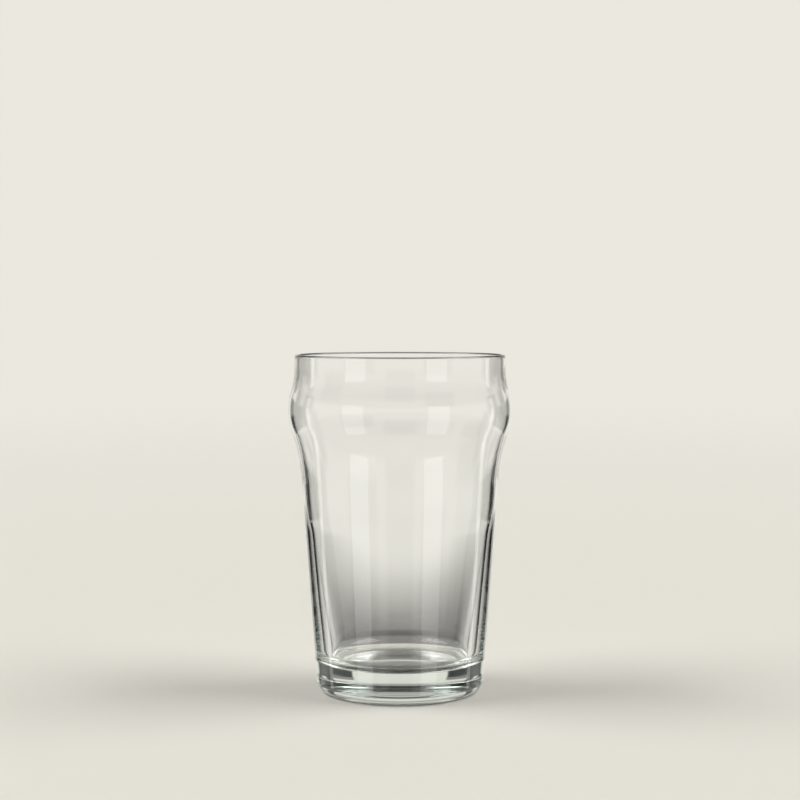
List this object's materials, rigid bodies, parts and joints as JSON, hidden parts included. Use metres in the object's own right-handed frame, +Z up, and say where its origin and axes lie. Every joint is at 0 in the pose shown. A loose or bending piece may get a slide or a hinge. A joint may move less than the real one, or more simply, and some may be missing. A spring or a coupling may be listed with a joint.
{
  "type": "pint glass",
  "caption": "Clear glass tumbler with a tapered body, a stacking bulge below the rim and a thick base.",
  "frame": {"origin": "centre of the base, on the plane the glass stands on", "axes": "+Z up along the glass's axis of revolution; X and Y are level and interchangeable"},
  "size_m": [0.0938, 0.0938, 0.142],
  "materials": {
    "clear_glass": "clear, fire-polished, faint grey-green tint where it is thick"
  },
  "bodies": {
    "root": {"glass_body": "clear_glass"}
  },
  "joints": []
}
